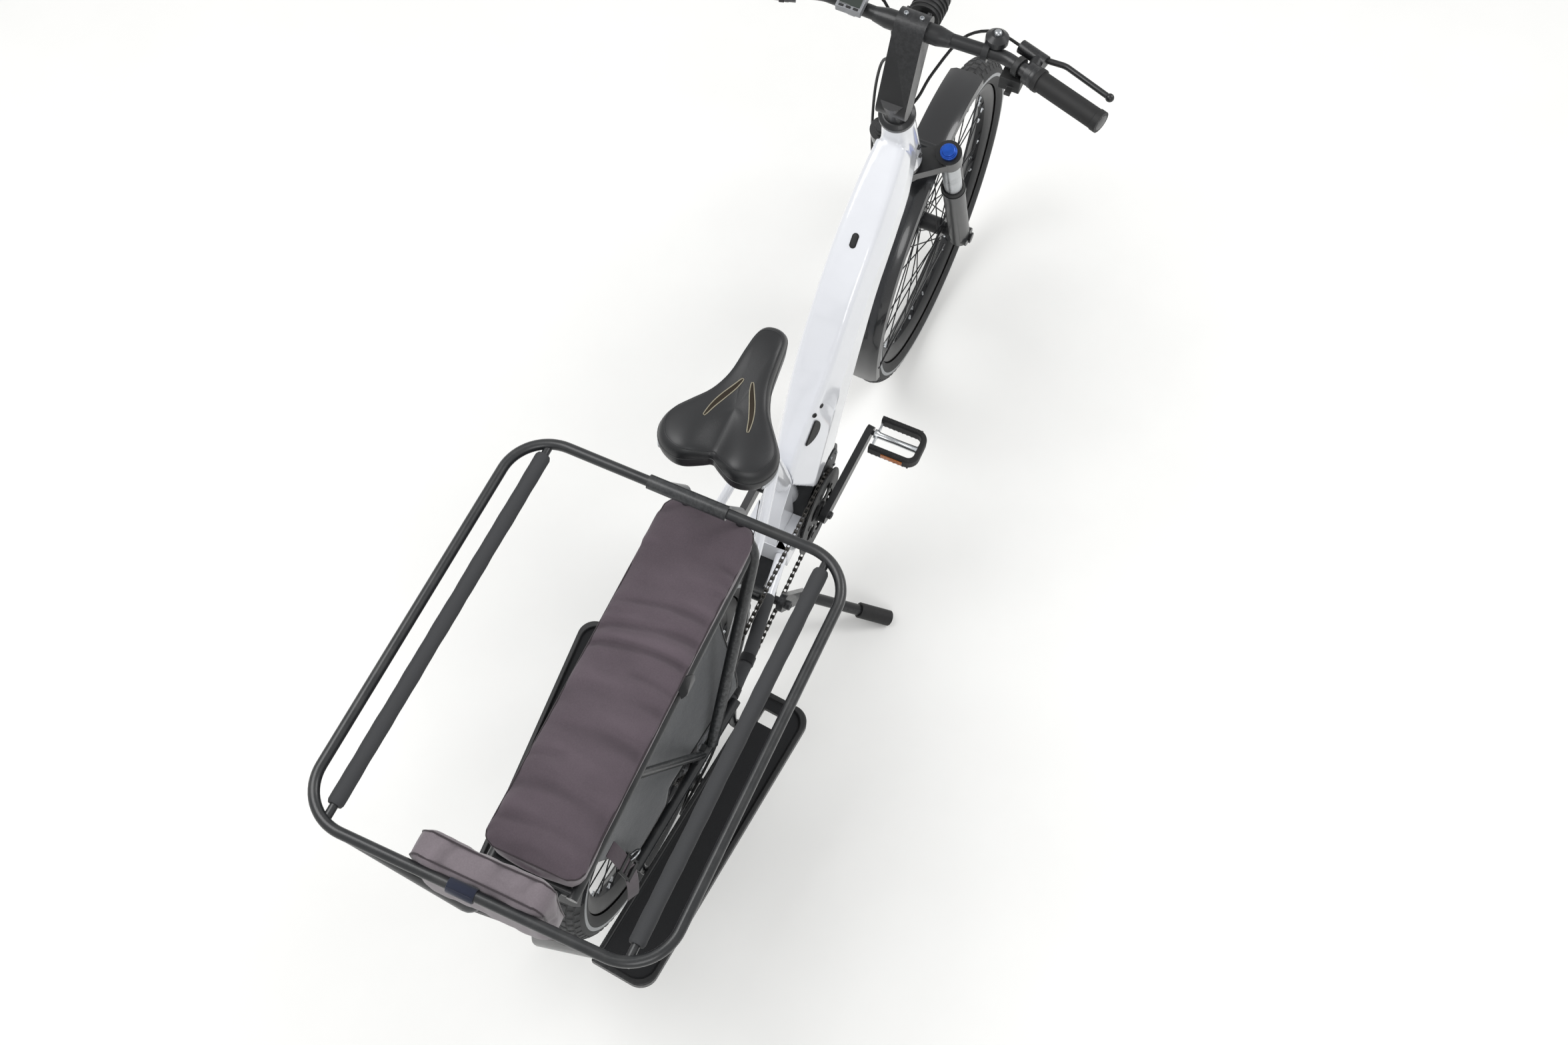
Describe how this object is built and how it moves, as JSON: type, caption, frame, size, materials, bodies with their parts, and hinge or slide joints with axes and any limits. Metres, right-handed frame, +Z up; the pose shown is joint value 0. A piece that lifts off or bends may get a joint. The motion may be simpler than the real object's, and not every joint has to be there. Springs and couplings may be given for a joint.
{
  "type": "electric cargo bike",
  "caption": "Long-tail electric cargo bike with a padded passenger seat, a surrounding safety rail, footboards and a two-legged centre stand.",
  "frame": {"origin": "on the ground, under the middle of the bike's box", "axes": "+X forward, +Y to the rider's left, +Z up"},
  "size_m": [2.051, 0.6586, 1.1829],
  "materials": {
    "white_paint": "gloss",
    "dark_cover": "satin",
    "black_rubber": "matte",
    "black_metal": "satin",
    "saddle_vinyl": "satin",
    "steel": "satin",
    "foam": "matte",
    "fabric": "matte",
    "board": "grip tape",
    "guard_sheet": "semi-gloss",
    "black_plastic": "satin",
    "lamp_red": "gloss",
    "chain_steel": "satin",
    "fork_grey": "metallic",
    "blue_knob": "anodised",
    "grey_plastic": "satin",
    "tyre": "matte",
    "spoke_steel": "satin",
    "pedal_alloy": "satin"
  },
  "bodies": {
    "frame": {"head_tube": "white_paint", "down_tube": "white_paint", "seat_tube": "white_paint", "rear_stays": "white_paint", "motor": "dark_cover", "port_covers": "black_rubber", "seat_post": "black_metal", "saddle": "saddle_vinyl", "saddle_rails": "steel", "rack": "black_metal", "safety_rail": "black_metal", "rail_pads": "foam", "cushion": "fabric", "backrest": "fabric", "footboard_left": "board", "footboard_right": "board", "spoke_guard_left": "guard_sheet", "spoke_guard_right": "guard_sheet", "rear_mudguard": "black_plastic", "rear_lamp": "lamp_red", "rear_caliper": "black_metal", "rear_derailleur": "black_metal", "chain": "chain_steel", "gear_cable": "black_rubber", "stand_bracket": "black_metal"},
    "stand": {"stand_legs": "black_metal", "stand_feet": "black_rubber"},
    "steering": {"fork_crown": "black_metal", "fork_lowers": "fork_grey", "front_axle": "black_metal", "fork_knobs": "blue_knob", "headset_cover": "black_plastic", "stem": "black_metal", "handlebar": "black_metal", "grip_left": "black_rubber", "grip_right": "black_rubber", "brake_levers": "black_metal", "shifter": "black_plastic", "bell": "black_plastic", "display": "grey_plastic", "headlight": "black_plastic", "front_mudguard": "black_plastic", "front_caliper": "black_metal", "hoses": "black_rubber"},
    "front_wheel": {"front_tyre": "tyre", "front_rim": "black_metal", "front_spokes": "spoke_steel", "front_hub": "black_metal", "front_disc": "steel"},
    "rear_wheel": {"rear_tyre": "tyre", "rear_rim": "black_metal", "rear_spokes": "spoke_steel", "rear_hub": "black_metal", "rear_disc": "steel", "cassette": "steel"},
    "crank": {"cranks": "black_metal", "chainring": "black_metal"},
    "pedal_right": {"pedal_right": "pedal_alloy"},
    "pedal_left": {"pedal_left": "pedal_alloy"}
  },
  "joints": [
    {"name": "steering_turn", "type": "hinge", "parent": "frame", "child": "steering", "pos_m": [0.64841, 0, 0.32502], "axis": [-0.3746, 0, 0.9272], "range_deg": [-60, 60]},
    {"name": "front_wheel_spin", "type": "hinge", "parent": "steering", "child": "front_wheel", "pos_m": [0.6855, 0, 0.34], "axis": [0, 1, 0], "continuous": true},
    {"name": "rear_wheel_spin", "type": "hinge", "parent": "frame", "child": "rear_wheel", "pos_m": [-0.5435, 0, 0.34], "axis": [0, 1, 0], "continuous": true},
    {"name": "crank_spin", "type": "hinge", "parent": "frame", "child": "crank", "pos_m": [0.0125, 0, 0.305], "axis": [0, 1, 0], "continuous": true},
    {"name": "pedal_right_spin", "type": "hinge", "parent": "crank", "child": "pedal_right", "pos_m": [0.16529, -0.13, 0.37952], "axis": [0, 1, 0], "continuous": true},
    {"name": "pedal_left_spin", "type": "hinge", "parent": "crank", "child": "pedal_left", "pos_m": [-0.1403, 0.13, 0.23048], "axis": [0, 1, 0], "continuous": true},
    {"name": "stand_fold", "type": "hinge", "parent": "frame", "child": "stand", "pos_m": [-0.1725, 0, 0.272], "axis": [0, 1, 0], "range_deg": [0, 120]}
  ]
}
